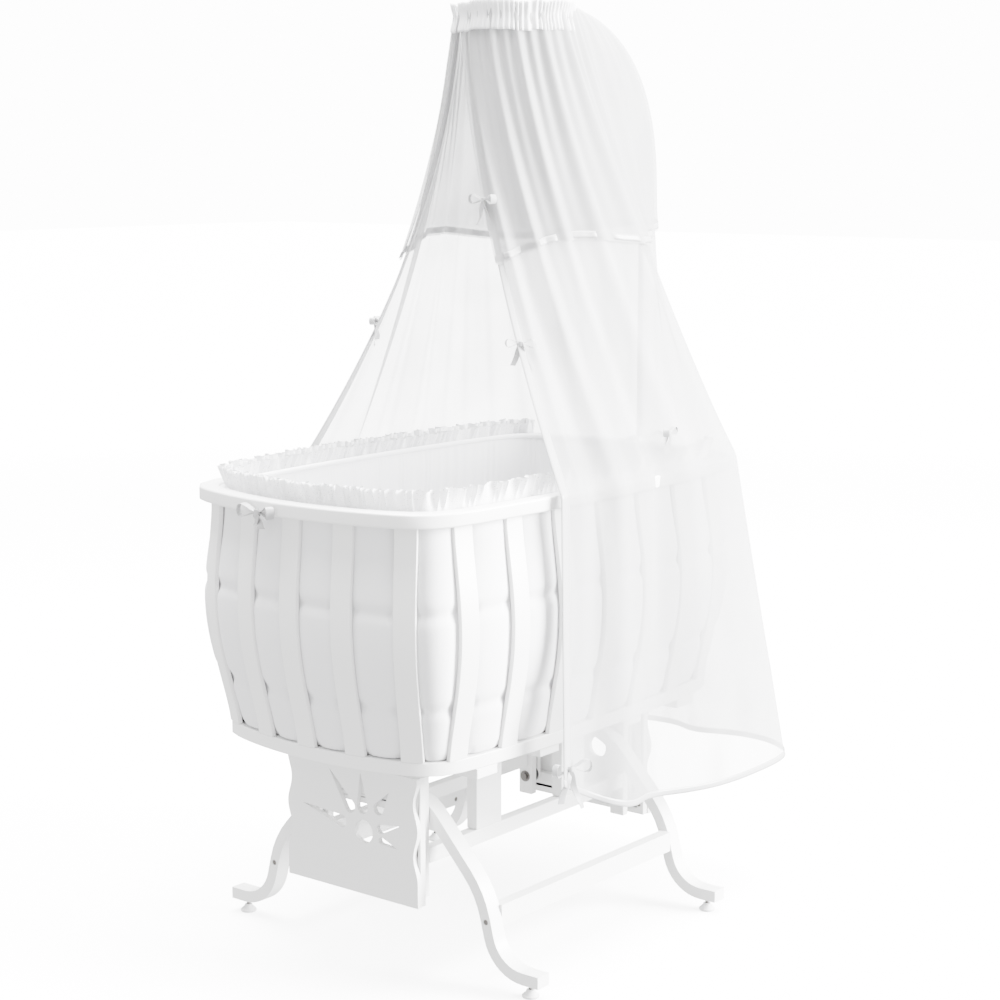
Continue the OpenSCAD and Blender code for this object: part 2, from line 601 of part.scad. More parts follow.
leveller_pad(1, 1);  // leveller_pad_head_back
link(-1, -1);  // link_foot_front
link(-1, 1);  // link_foot_back
link(1, -1);  // link_head_front
link(1, 1);  // link_head_back
top_rim();
base_ring();
slats_on_side(-1);  // slats_front
slats_on_side(1);  // slats_back
slats_on_end(-1);  // slats_foot
slats_on_end(1);  // slats_head
bed_board();
bearers();
under_rail(-1);  // under_rail_front
under_rail(1);  // under_rail_back
rail_posts();
hangers(-1);  // hangers_foot
hangers(1);  // hangers_head
lower_pins();
pin_washers();
spacer_bushes();
mattress();
padded_liner();
gathered_bumper();
ruffle();
rim_bow();
pole_clamps();
clamp_screws();
pole_lower();
pole_upper();
hoop();
net_panel(-1, -NET_SPLIT);  // net_front
net_panel(NET_SPLIT, 1);  // net_back
net_panel(-NET_SPLIT, NET_SPLIT);  // net_head
net_hood();
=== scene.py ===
import json
import math

import bpy
import numpy as np
from bpy.props import FloatProperty, FloatVectorProperty, IntProperty, PointerProperty
from bpy.types import Operator, Panel, PropertyGroup
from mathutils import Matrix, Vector


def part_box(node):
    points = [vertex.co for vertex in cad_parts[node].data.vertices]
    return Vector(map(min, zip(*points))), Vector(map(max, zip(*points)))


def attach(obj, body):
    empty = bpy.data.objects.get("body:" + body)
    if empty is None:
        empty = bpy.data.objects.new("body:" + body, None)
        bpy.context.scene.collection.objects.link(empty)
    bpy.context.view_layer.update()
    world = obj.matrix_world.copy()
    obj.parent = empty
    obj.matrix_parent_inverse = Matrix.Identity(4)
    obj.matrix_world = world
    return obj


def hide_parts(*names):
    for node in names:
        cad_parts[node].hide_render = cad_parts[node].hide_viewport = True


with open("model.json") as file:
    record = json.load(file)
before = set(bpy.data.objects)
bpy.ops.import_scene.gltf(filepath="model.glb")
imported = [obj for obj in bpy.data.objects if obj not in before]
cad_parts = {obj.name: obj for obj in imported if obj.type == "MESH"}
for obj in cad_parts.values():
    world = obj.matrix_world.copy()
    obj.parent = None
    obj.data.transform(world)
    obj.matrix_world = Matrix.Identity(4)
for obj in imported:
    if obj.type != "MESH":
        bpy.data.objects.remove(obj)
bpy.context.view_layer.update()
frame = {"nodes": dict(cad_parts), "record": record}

bl_info = {
    "name": "Canopy crib",
    "version": (1, 0, 0),
    "blender": (4, 5, 0),
    "location": "View3D > Sidebar > Crib",
    "description": "Makes the timber, bedding and netting of a basket crib on its swing stand",
    "category": "Object",
}

TURN = 2 * math.pi


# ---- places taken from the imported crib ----
class Measures:
    """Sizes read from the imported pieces, in metres."""

    rim_low, rim_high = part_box("top_rim")
    base_low, base_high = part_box("base_ring")
    mattress_low, mattress_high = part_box("mattress")
    ruffle_low, ruffle_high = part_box("ruffle")
    bumper_low, bumper_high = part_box("gathered_bumper")
    liner_low, liner_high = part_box("padded_liner")
    hoop_low, hoop_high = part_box("hoop")
    net_low, net_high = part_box("net_head")
    middle = (rim_low.x + rim_high.x) / 2
    rim_a, rim_b = (rim_high.x - rim_low.x) / 2, (rim_high.y - rim_low.y) / 2
    base_a, base_b = (base_high.x - base_low.x) / 2, (base_high.y - base_low.y) / 2
    slat_inset = 0.020
    slat_thick = 0.009
    slat_half = 0.020
    slat_bow = 0.025
    bow_end, bow_side = 0.11, 0.085
    corner = 14
    hoop_x = hoop_low.x + (hoop_high.y - hoop_low.y) / 2
    hoop_radius = (hoop_high.y - hoop_low.y) / 2


M = Measures


def plan(a, b, phi):
    """Outline of the basket: a rounded box of half length a and half width b whose sides and ends bow outwards."""
    c, s = np.cos(phi), np.sin(phi)
    r = (np.abs(c) ** M.corner + np.abs(s) ** M.corner) ** (1 / M.corner)
    u, v = c / r, s / r
    return np.stack([M.middle + a * u * (1 - M.bow_end * v * v), b * v * (1 - M.bow_side * u * u)], -1)


def outward(a, b, phi):
    """Unit vector square to the outline, pointing away from the middle."""
    d = plan(a, b, phi + 1e-3) - plan(a, b, phi - 1e-3)
    d /= np.linalg.norm(d, axis=-1, keepdims=True)
    return np.stack([d[..., 1], -d[..., 0]], -1)


def rise(z):
    """How far up the slats a height is, from 0 at the base ring to 1 under the rim."""
    return np.clip((z - M.base_high.z) / (M.rim_low.z - M.base_high.z), 0, 1)


def swell(f):
    """How far a slat stands out between its ends: a power of a half wave."""
    return M.slat_bow * np.sin(math.pi * f) ** 1.4


def wall(phi, z, off):
    """Point of the slats' inner face at a direction and a height, moved out by off along the outline's normal."""
    f = rise(z)
    inset = M.slat_inset * f + M.slat_thick
    grow = (M.rim_a - M.base_a) * f - inset + swell(f) + off
    spread = (M.rim_b - M.base_b) * f - inset + swell(f) + off
    return np.concatenate([plan(M.base_a + grow, M.base_b + spread, phi), z[..., None]], -1)


def bays():
    """Direction of every slat as seen from the basket's middle, counter-clockwise, at the base and at the rim."""
    side_x = np.arange(-3, 4) * 0.125 / (1 - M.bow_end)
    end_y = np.arange(-2, 3) * 0.110 / (1 - M.bow_side)
    top_a, top_b = M.rim_a - M.slat_inset, M.rim_b - M.slat_inset
    both = []
    for a, b, y in ((M.base_a, M.base_b, end_y * M.base_b / top_b), (top_a, top_b, end_y)):
        head = np.arctan2(y / b, 1)
        back = np.arctan2(1, side_x[::-1] / a)
        foot = np.arctan2(y[::-1] / b, -1) % TURN
        front = np.arctan2(-1, side_x / a) % TURN
        both.append(np.concatenate([head, back, foot, front]))
    return both


class Around:
    """Carries an even step round the basket, counted in slats, to a direction from the middle."""

    def __init__(self):
        phi = np.linspace(0, TURN, 2881)
        line = plan(M.rim_a, M.rim_b, phi)
        length = np.concatenate([[0], np.cumsum(np.linalg.norm(np.diff(line, axis=0), axis=1))])
        self.phi, self.length, self.total = phi, length, length[-1]
        low, high = [self.arc(p) for p in bays()]
        self.low, self.high = (np.append(p, p[0] + self.total) for p in (low, high))
        self.count = len(low)
        self.gap = np.diff(self.high)

    def arc(self, phi):
        """Length round the rim up to a direction, unwrapped so that it grows from slat to slat."""
        arc = np.interp(phi % TURN, self.phi, self.length)
        return np.where(arc > arc[-1], arc - self.total, arc)

    def direction(self, step, f):
        """Direction at a step round the basket and a share f of the slats' height."""
        steps = np.arange(self.count + 1)
        whole = np.floor(step / self.count)
        part = step - whole * self.count
        arc = (1 - f) * np.interp(part, steps, self.low) + f * np.interp(part, steps, self.high)
        return np.interp(arc % self.total, self.length, self.phi)

    def from_slat(self, step):
        """Distance to the nearest slat's middle, and half the bay it is in."""
        part = step % self.count
        gap = self.gap[np.minimum(part.astype(int), self.count - 1)]
        return np.abs(part - np.round(part)) * gap, gap / 2


# ---- meshes ----
def grid(name, points, uv=None, round_u=False, round_v=False, flip=False):
    """Mesh of quads between neighbouring points of rows x columns x 3.

    round_u and round_v join the last to the first."""
    rows, cols = points.shape[:2]
    down, along = rows if round_v else rows - 1, cols if round_u else cols - 1
    j, i = np.meshgrid(np.arange(down), np.arange(along), indexing="ij")
    k, m = (i + 1) % cols, (j + 1) % rows
    quads = np.stack([j * cols + i, j * cols + k, m * cols + k, m * cols + i], -1).reshape(-1, 4)
    if flip:
        quads = quads[:, ::-1]
    mesh = bpy.data.meshes.new(name)
    mesh.vertices.add(rows * cols)
    mesh.vertices.foreach_set("co", points.astype(np.float32).ravel())
    mesh.loops.add(quads.size)
    mesh.loops.foreach_set("vertex_index", quads.astype(np.int32).ravel())
    mesh.polygons.add(len(quads))
    mesh.polygons.foreach_set("loop_start", np.arange(0, quads.size, 4, dtype=np.int32))
    mesh.polygons.foreach_set("use_smooth", np.ones(len(quads), bool))
    mesh.update(calc_edges=True)
    if uv is not None:
        flat = np.stack([uv[0], uv[1]], -1).reshape(-1, 2)
        corners = flat[quads]
        wrap = corners[:, :, 0].max(1) - corners[:, :, 0].min(1) > 0.5 * np.ptp(flat[:, 0])
        if round_u:
            small = corners[:, :, 0] < flat[:, 0].mean()
            step = flat[1, 0] - flat[0, 0]
            corners[:, :, 0] += (wrap[:, None] & small) * (np.ptp(flat[:, 0]) + step)
        layer = mesh.uv_layers.new(name="cloth")
        layer.data.foreach_set("uv", corners.astype(np.float32).ravel())
    obj = bpy.data.objects.new(name, mesh)
    bpy.context.scene.collection.objects.link(obj)
    return obj


def coordinates(mesh):
    co = np.empty(len(mesh.vertices) * 3, np.float32)
    mesh.vertices.foreach_get("co", co)
    return co.reshape(-1, 3).astype(float)


def join(name, parts):
    """One object of several meshes."""
    bpy.ops.object.select_all(action="DESELECT")
    for part in parts:
        part.select_set(True)
    bpy.context.view_layer.objects.active = parts[0]
    if len(parts) > 1:
        bpy.ops.object.join()
    parts[0].name = parts[0].data.name = name
    return parts[0]


def modifier(obj, kind, **settings):
    mod = obj.modifiers.new(kind.title(), kind)
    for key, value in settings.items():
        setattr(mod, key, value)
    return mod


def soften(obj, levels=1):
    modifier(obj, "SUBSURF", levels=levels, render_levels=levels)


def rounded_copy(node, width, segments=3):
    """A CAD piece's own shape with its loose triangles joined and its sharp edges rounded."""
    mesh = frame["nodes"][node].data.copy()
    mesh.materials.clear()
    obj = bpy.data.objects.new(node + "_shown", mesh)
    bpy.context.scene.collection.objects.link(obj)
    weld = modifier(obj, "WELD", merge_threshold=1e-5)
    bevel = modifier(obj, "BEVEL", width=width, segments=segments, limit_method="ANGLE", angle_limit=math.radians(35),
                     harden_normals=False, use_clamp_overlap=True)
    bevel.miter_outer = "MITER_ARC"
    mesh.shade_smooth()
    modifier(obj, "WEIGHTED_NORMAL", keep_sharp=True, weight=90)
    for body, nodes in frame["record"]["behaviour"]["bodies"].items():
        if node in nodes:
            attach(obj, body)
    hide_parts(node)
    return obj, weld


def strip(name, line, across, width, lift=None):
    """Flat band along a line: each point is carried half the width to both sides of across, and lifted along lift."""
    line, across = np.asarray(line, float), np.asarray(across, float)
    across = across / np.linalg.norm(across, axis=-1, keepdims=True)
    t = np.linspace(-0.5, 0.5, 5)[:, None, None]
    width = np.broadcast_to(np.asarray(width, float), (len(line),))[None, :, None]
    points = line[None] + across[None] * width * t
    if lift is not None:
        points = points + lift[None]
    run = np.concatenate([[0], np.cumsum(np.linalg.norm(np.diff(line, axis=0), axis=1))])
    u = np.broadcast_to(run[None], points.shape[:2])
    v = np.broadcast_to((t * width)[..., 0], points.shape[:2])
    return grid(name, points, (u, v))


# ---- finishes ----
class Value:
    """A shader socket in sums: an expression on values adds its Math nodes."""

    def __init__(self, finish, socket):
        self.finish, self.socket = finish, socket

    def _sum(self, operation, first, second=0.0):
        return self.finish.add("ShaderNodeMath", {"operation": operation}, {0: first, 1: second})

    def __add__(self, other):
        return self._sum("ADD", self, other)

    __radd__ = __add__

    def __sub__(self, other):
        return self._sum("SUBTRACT", self, other)

    def __rsub__(self, other):
        return self._sum("SUBTRACT", other, self)

    def __mul__(self, other):
        return self._sum("MULTIPLY", self, other)

    __rmul__ = __mul__

    def __truediv__(self, other):
        return self._sum("DIVIDE", self, other)

    def __pow__(self, other):
        return self._sum("POWER", self, other)

    def __gt__(self, other):
        return self._sum("GREATER_THAN", self, other)

    def wave(self, length):
        """A sine of the value with a wavelength in metres, from 0 to 1."""
        return self._sum("SINE", self * (TURN / length)) * 0.5 + 0.5


class Finish:
    """A material built from nodes. Everything that changes over the surface feeds the shader from here."""

    def __init__(self, name):
        self.material = bpy.data.materials.new(name)
        self.material.use_nodes = True
        self.tree = self.material.node_tree
        self.tree.nodes.clear()
        self.output = self.tree.nodes.new("ShaderNodeOutputMaterial")

    def add(self, kind, settings=None, sockets=None, out=0):
        """Any node: its settings are set first, then the values or links of its sockets."""
        node = self.tree.nodes.new(kind)
        for key, value in (settings or {}).items():
            if key == "stops":
                for stop, (place, shade) in zip(node.color_ramp.elements, value):
                    stop.position, stop.color = place, (shade, shade, shade, 1)
            else:
                setattr(node, key, value)
        for key, value in (sockets or {}).items():
            if isinstance(value, Value):
                self.tree.links.new(value.socket, node.inputs[key])
            else:
                node.inputs[key].default_value = value
        return Value(self, node.outputs[out])

    def place(self):
        return self.add("ShaderNodeTexCoord", out="Object")

    def cloth(self):
        """The piece's own coordinates along and across the cloth, in metres."""
        uv = self.add("ShaderNodeTexCoord", out="UV")
        parts = self.tree.nodes.new("ShaderNodeSeparateXYZ")
        self.tree.links.new(uv.socket, parts.inputs[0])
        return uv, Value(self, parts.outputs[0]), Value(self, parts.outputs[1])

    def noise(self, where, scale, detail=3.0, stretch=None):
        if stretch is not None:
            where = self.add("ShaderNodeMapping", None, {"Vector": where, "Scale": stretch})
        return self.add("ShaderNodeTexNoise", None, {"Vector": where, "Scale": scale, "Detail": detail}, "Fac")

    def tint(self, mask, dark, light):
        """Mixes two colours by a mask from 0 to 1."""
        return self.add("ShaderNodeMix", {"data_type": "RGBA"}, {0: mask, 6: (*dark, 1), 7: (*light, 1)}, 2)

    def bump(self, height, distance, strength=1.0, under=None):
        sockets = {"Height": height, "Distance": distance, "Strength": strength}
        if under is not None:
            sockets["Normal"] = under
        return self.add("ShaderNodeBump", None, sockets)

    def surface(self, **sockets):
        names = {key: key.replace("_", " ") for key in sockets}
        shader = self.add("ShaderNodeBsdfPrincipled", None, {names[key]: value for key, value in sockets.items()})
        self.tree.links.new(shader.socket, self.output.inputs["Surface"])
        return self.material


def shade(colour, factor):
    return tuple(c * factor for c in colour)


def lacquered_wood(name, colour, stretch):
    """Sprayed white lacquer over fine grain: faint drawn-out grain, orange peel and slight mottling."""
    f = Finish(name)
    where = f.place()
    grain = f.noise(where, 60, 4, stretch)
    peel = f.noise(where, 900, 2)
    cloud = f.noise(where, 5, 2)
    relief = f.bump(grain, 0.00035, 0.35, f.bump(peel, 0.00008, 0.3))
    return f.surface(Base_Color=f.tint(cloud * 0.6 + grain * 0.4, shade(colour, 0.965), colour),
                     Roughness=0.30 + 0.10 * cloud + 0.05 * peel, Coat_Weight=0.22, Coat_Roughness=0.18,
                     Normal=relief)


def woven_cloth(name, colour, thread, crumple, sheen=0.25):
    """Plain weave: two crossed sets of threads, with soft crumpling and slubs."""
    f = Finish(name)
    uv, u, v = f.cloth()
    weave = u.wave(thread) * v.wave(thread)
    slub = f.noise(uv, 240, 2, (1, 0.15, 1))
    soft = f.noise(f.place(), 22, 4)
    relief = f.bump(soft, crumple, 0.6, f.bump(weave + slub * 0.4, thread * 0.25, 0.5))
    return f.surface(Base_Color=f.tint(soft * 0.7 + weave * 0.3, shade(colour, 0.955), colour), Roughness=0.82 + 0.12 * slub,
                     Sheen_Weight=sheen, Sheen_Roughness=0.5, Normal=relief)


def lace(name, colour):
    """Open cotton lace: rows of small eyelets between threads."""
    f = Finish(name)
    uv = f.cloth()[0]
    holes = f.add("ShaderNodeTexVoronoi", {"feature": "F1"},
                  {"Vector": uv, "Scale": 260.0, "Randomness": 0.35}, "Distance")
    thread = f.noise(uv, 700, 2)
    solid = holes + thread * 0.15 > 0.24
    relief = f.bump(holes + thread * 0.5, 0.0006, 0.8)
    return f.surface(Base_Color=f.tint(thread, shade(colour, 0.93), colour), Roughness=0.85 + 0.1 * thread,
                     Sheen_Weight=0.3, Normal=relief, Alpha=0.35 + 0.65 * solid)


def sheer_net(name, colour, cover):
    """Fine sheer net: a light cover with every other thread showing, denser where it is gathered."""
    f = Finish(name)
    _, u, v = f.cloth()
    mesh = u.wave(0.0016) * v.wave(0.0016)
    gather = f.add("ShaderNodeAttribute", {"attribute_name": "gather"}, out="Fac")
    cloud = f.noise(f.place(), 9, 3)
    relief = f.bump(mesh, 0.0002, 0.4)
    alpha = gather * 0.9 + cover * (0.75 + 0.35 * cloud + 0.3 * mesh)
    return f.surface(Base_Color=f.tint(cloud, shade(colour, 0.985), colour), Roughness=0.75 + 0.15 * mesh,
                     Sheen_Weight=0.05, Normal=relief, Alpha=alpha)


def satin(name, colour):
    """Satin ribbon: close threads along its length and a soft gloss."""
    f = Finish(name)
    uv = f.cloth()[0]
    thread = f.noise(uv, 900, 2, (0.08, 1, 1))
    soft = f.noise(f.place(), 60, 3)
    relief = f.bump(soft, 0.0008, 0.4, f.bump(thread, 0.0001, 0.5))
    return f.surface(Base_Color=f.tint(soft, shade(colour, 0.95), colour), Roughness=0.30 + 0.14 * thread,
                     Sheen_Weight=0.3, Coat_Weight=0.15, Coat_Roughness=0.3, Normal=relief)


def steel(name, colour):
    """Oiled dark steel: fine scratches and uneven gloss."""
    f = Finish(name)
    where = f.place()
    scratch = f.noise(where, 900, 3, (0.2, 1, 1))
    cloud = f.noise(where, 120, 3)
    return f.surface(Base_Color=f.tint(cloud, shade(colour, 0.6), colour), Metallic=0.85,
                     Roughness=0.32 + 0.25 * scratch, Normal=f.bump(scratch, 0.00006, 0.5))


def moulded(name, colour, gloss, grain):
    """Moulded plastic, rubber or powder coat: a fine pebbled skin."""
    f = Finish(name)
    where = f.place()
    pebble = f.noise(where, grain, 2)
    cloud = f.noise(where, 30, 2)
    return f.surface(Base_Color=f.tint(cloud, shade(colour, 0.93), colour), Roughness=gloss + 0.12 * pebble,
                     Normal=f.bump(pebble, 0.0001, 0.5))


def lit_floor(name, colour, glow):
    """Plain pale floor, lit from below like a light table so that it fades into the background."""
    f = Finish(name)
    cloud = f.noise(f.place(), 0.6, 2)
    far = f.add("ShaderNodeMapping", None, {"Vector": f.place(), "Scale": (1 / 7, 1 / 7, 1 / 7)})
    near = f.add("ShaderNodeTexGradient", {"gradient_type": "SPHERICAL"}, {"Vector": far}, "Fac")
    light = f.tint(near ** 0.5, (1, 1, 1), (0.35, 0.35, 0.35))
    return f.surface(Base_Color=f.tint(cloud, shade(colour, 0.99), colour), Roughness=0.9, Emission_Color=light,
                     Emission_Strength=glow)


MADE = {}


def finish(kind, *args):
    """Makes each finish once."""
    if kind not in MADE:
        MADE[kind] = FINISHES[kind]()
    return MADE[kind]


def looks():
    return bpy.context.scene.crib_timber, bpy.context.scene.crib_bedding, bpy.context.scene.crib_net


FINISHES = {
    "wood along": lambda: lacquered_wood("lacquer_along", tuple(looks()[0].colour), (0.06, 1, 1)),
    "wood upright": lambda: lacquered_wood("lacquer_upright", tuple(looks()[0].colour), (1, 1, 0.06)),
    "cotton": lambda: woven_cloth("cotton", tuple(looks()[1].colour), 0.0014, 0.0009),
    "quilt": lambda: woven_cloth("quilted_cotton", tuple(looks()[1].colour), 0.0011, 0.0014),
    "lace": lambda: lace("cotton_lace", tuple(looks()[1].colour)),
    # The net and the satin ribbons both take the net's colour. Its dark grey default is painted shade: white cloth
    # given a darker colour.
    "net": lambda: sheer_net("sheer_net", tuple(looks()[2].colour), looks()[2].cover),
    "satin": lambda: satin("satin_ribbon", tuple(looks()[2].colour)),
    "steel": lambda: steel("dark_steel", (0.20, 0.19, 0.18)),
    "rubber": lambda: moulded("black_rubber", (0.03, 0.03, 0.03), 0.55, 1500),
    "plastic": lambda: moulded("white_plastic", (0.80, 0.80, 0.80), 0.35, 1200),
    "tube": lambda: moulded("white_powder_coat", (0.82, 0.82, 0.83), 0.38, 1100),
    "floor": lambda: lit_floor("plain_floor", (0.93, 0.93, 0.93), 14.0),
}


def dress(obj, kind):
    obj.data.materials.clear()
    obj.data.materials.append(finish(kind))
    return obj


# ---- sizes and colours that can be changed ----
class CribTimber(PropertyGroup):
    edge: FloatProperty(name="Edge radius", description="Rounding of the timber's edges",
                        default=0.002, unit="LENGTH")
    rim_edge: FloatProperty(name="Rim edge", description="Rounding of the rim's edges", default=0.004, unit="LENGTH")
    colour: FloatVectorProperty(name="Lacquer", description="Colour of the lacquer", default=(0.83, 0.83, 0.825),
                                subtype="COLOR")


class CribBedding(PropertyGroup):
    puff: FloatProperty(name="Puff", description="How far the liner swells between the slats",
                        default=0.010, unit="LENGTH")
    seam_low: FloatProperty(name="Lower seam", description="Height of the liner's lower seam",
                            default=0.523, unit="LENGTH")
    seam_high: FloatProperty(name="Upper seam", description="Height of the liner's upper seam",
                             default=0.690, unit="LENGTH")
    frill_folds: IntProperty(name="Frill folds", description="Folds of the lace frill round the rim", default=150)
    colour: FloatVectorProperty(name="Cotton", description="Colour of the bedding", default=(0.82, 0.82, 0.83),
                                subtype="COLOR")


class CribNet(PropertyGroup):
    folds: IntProperty(name="Folds", description="Folds of the net round the hoop", default=34)
    depth: FloatProperty(name="Fold depth", description="Depth of the net's folds at the hem",
                         default=0.016, unit="LENGTH")
    ribbon: FloatProperty(name="Ribbon", description="Width of the satin ribbon", default=0.012, unit="LENGTH")
    cover: FloatProperty(name="Cover", description="How much of what is behind the net it hides", default=0.62,
                         subtype="FACTOR", min=0, max=1)
    # The default colour is a dark grey, painted shade: the white net and its satin ribbons are made darker so they
    # show grey, not white, under the key lamp against the bright backdrop.
    colour: FloatVectorProperty(name="Net", description="Colour of the net",
                                default=(0.40, 0.40, 0.404), subtype="COLOR")


# ---- timber, fittings and feet ----
class OBJECT_OT_crib_timber(Operator):
    """Rounds the edges of the stand, the basket's rings, rails and links, and lacquers them"""

    bl_idname = "object.crib_timber"
    bl_label = "Timber"

    UPRIGHT = ("leg_", "panel_foot", "panel_head", "end_frame", "crown", "hangers", "link_", "rail_posts")
    ALONG = ("stretcher", "under_rail", "bearers", "bed_board", "base_ring")

    def execute(self, context):
        edge = context.scene.crib_timber.edge
        for node in frame["nodes"]:
            if node.startswith(self.UPRIGHT) and node != "leg_bolts":
                dress(rounded_copy(node, edge)[0], "wood upright")
            elif node.startswith(self.ALONG):
                dress(rounded_copy(node, edge)[0], "wood along")
        dress(rounded_copy("top_rim", context.scene.crib_timber.rim_edge, 4)[0], "wood along")
        return {"FINISHED"}


class OBJECT_OT_crib_slats(Operator):
    """Rounds the edges of the bowed slats"""

    bl_idname = "object.crib_slats"
    bl_label = "Slats"

    def execute(self, context):
        for node in ("slats_front", "slats_back", "slats_foot", "slats_head"):
            dress(rounded_copy(node, context.scene.crib_timber.edge * 0.75, 2)[0], "wood upright")
        return {"FINISHED"}


class OBJECT_OT_crib_fittings(Operator):
    """Gives the bolts, pins, bushes, feet, clamps and canopy tube their finishes"""

    bl_idname = "object.crib_fittings"
    bl_label = "Fittings"

    KINDS = {
        "dark steel": ("steel", ("leg_bolts", "cross_dowels", "panel_screws", "thread_inserts", "upper_pins", "lower_pins",
                                 "pin_washers", "clamp_screws", "leveller_stem")),
        "black rubber": ("rubber", ("spacer_bushes",)),
        "white plastic": ("plastic", ("leveller_pad", "pole_clamps")),
        "white tube": ("tube", ("pole_lower", "pole_upper", "hoop")),
    }

    def execute(self, context):
        for slot, (kind, names) in self.KINDS.items():
            for node, obj in frame["nodes"].items():
                if node.startswith(names):
                    dress(obj, kind)
                    obj.data.shade_auto_smooth() if hasattr(obj.data, "shade_auto_smooth") else None
        return {"FINISHED"}


# ---- bedding ----
def puff_up(obj, pressure, steps, cap, held=None):
    """Swells a closed mesh as cloth for a few steps, and keeps each point within cap of where it started."""
    scene = bpy.context.scene
    start = coordinates(obj.data)
    mod = obj.modifiers.new("Swell", "CLOTH")
    cloth = mod.settings
    cloth.quality, cloth.mass, cloth.air_damping = 4, 0.25, 2.0
    cloth.tension_stiffness = cloth.compression_stiffness = 12
    cloth.shear_stiffness, cloth.bending_stiffness = 6, 0.4
    cloth.use_pressure, cloth.uniform_pressure_force = True, pressure
    cloth.effector_weights.gravity = 0
    if held is not None:
        group = obj.vertex_groups.new(name="held")
        for level in range(1, 11):
            chosen = np.nonzero(np.round(held * 10).astype(int) == level)[0]
            group.add(chosen.tolist(), level / 10, "REPLACE")
        cloth.vertex_group_mass = "held"
    mod.point_cache.frame_start, mod.point_cache.frame_end = 1, steps
    for step in range(1, steps + 1):
        scene.frame_set(step)
    moved = coordinates(obj.evaluated_get(bpy.context.evaluated_depsgraph_get()).to_mesh())
    obj.modifiers.remove(mod)
    shift = moved - start
    size = np.linalg.norm(shift, axis=1, keepdims=True)
    shift *= np.minimum(1, cap / np.maximum(size, 1e-9))
    obj.data.vertices.foreach_set("co", (start + shift).astype(np.float32).ravel())
    obj.data.update()
    scene.frame_set(1)


class OBJECT_OT_crib_liner(Operator):
    """Makes the padded liner: pillows that swell between the slats, sewn through along two seams"""

    bl_idname = "object.crib_liner"
    bl_label = "Padded liner"

    def execute(self, context):
        bedding = context.scene.crib_bedding
        around = Around()
        steps = np.arange(0, around.count, 1 / 20)
        rows = 64
        top, bottom, thick = M.liner_high.z, M.liner_low.z, 0.020
        height = np.linspace(bottom, top, rows)
        step, z = np.meshgrid(steps, height)
        phi = around.direction(step, rise(z))
        near, half = around.from_slat(step)
        bay = np.clip((near - M.slat_half - 0.0015) / (half - M.slat_half - 0.0015), 0, 1)
        crown = np.sqrt(1 - (1 - bay) ** 2)
        seams = [bottom, bedding.seam_low, bedding.seam_high, top]
        from_seam = np.min([np.abs(z - s) for s in seams], axis=0)
        sewn = np.exp(-(from_seam / 0.010) ** 2)
        swollen = 1 - sewn * (0.42 + 0.58 * (1 - bay) ** 2)
        outer = wall(phi, z, -0.0012 + bedding.puff * crown * swollen - 0.004 * sewn * (bay < 0.25))
        inner = wall(phi, z, -thick)
        points = np.concatenate([outer, inner[::-1]])
        u = np.concatenate([step, step]) * around.total / around.count
        v = np.concatenate([z, z[::-1] + 0.5])
        obj = grid("padded_liner_shown", points, (u, v), round_u=True, round_v=True)
        held = np.concatenate([np.maximum(sewn * 0.98, bay < 0.04), np.ones_like(z)]).ravel()
        puff_up(obj, 3.0, 14, 0.006, np.clip(held, 0, 1))
        soften(obj)
        dress(obj, "quilt")
        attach(obj, "basket")
        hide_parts("padded_liner")
        return {"FINISHED"}


class OBJECT_OT_crib_bumper(Operator):
    """Makes the gathered bumper that lines the inside, with fine upright pleats and a piped top edge"""

    bl_idname = "object.crib_bumper"
    bl_label = "Gathered bumper"

    def execute(self, context):
        cols, rows = 1500, 26
        phi0 = np.linspace(0, TURN, cols, endpoint=False)
        rng = np.random.default_rng(4)
        wander = sum(rng.uniform(0.3, 1) * np.sin(n * phi0 + rng.uniform(0, TURN)) for n in rng.integers(3, 40, 14)) * 0.5
        bottom, top, depth = M.bumper_low.z, M.bumper_high.z - 0.006, 0.010
        share = np.linspace(0, 1, rows)[:, None]
        z = bottom + (top - bottom) * share + np.zeros(cols)
        phi = np.broadcast_to(phi0, z.shape)
        pleat = np.sin(170 * phi + 3 * wander) * (0.55 + 0.45 * np.sin(37 * phi + wander))
        grip = np.sin(math.pi * share) ** 0.4
        belly = depth * np.sin(math.pi * share) ** 0.5
        inner = wall(phi, z, -0.031 - belly * 0.75 - 0.0016 * pleat * (0.35 + 0.65 * grip))
        outer = wall(phi, z, -0.0275 - 0 * z)
        points = np.concatenate([outer, inner[::-1]])
        u = np.concatenate([phi, phi]) / TURN * 2.7
        v = np.concatenate([z, 1 - z[::-1]])
        obj = grid("gathered_bumper_shown", points, (u, v), round_u=True, round_v=True)
        dress(obj, "cotton")
        ring = wall(phi0, np.full(cols, top), -0.033)
        turn = np.linspace(0, TURN, 10, endpoint=False)[:, None, None]
        out = np.concatenate([outward(M.rim_a, M.rim_b, phi0), np.zeros((cols, 1))], -1)
        piping = ring[None] + 0.005 * (np.cos(turn) * out[None] + np.sin(turn) * np.array([0, 0, 1.0]))
        run = np.broadcast_to(phi0 / TURN * 2.7, piping.shape[:2])
        around = np.broadcast_to(turn[..., 0] * 0.005, piping.shape[:2])
        piped = grid("bumper_piping", piping, (run, around), True, True, True)
        dress(piped, "cotton")
        for part in (obj, piped):
            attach(part, "basket")
        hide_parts("gathered_bumper")
        return {"FINISHED"}


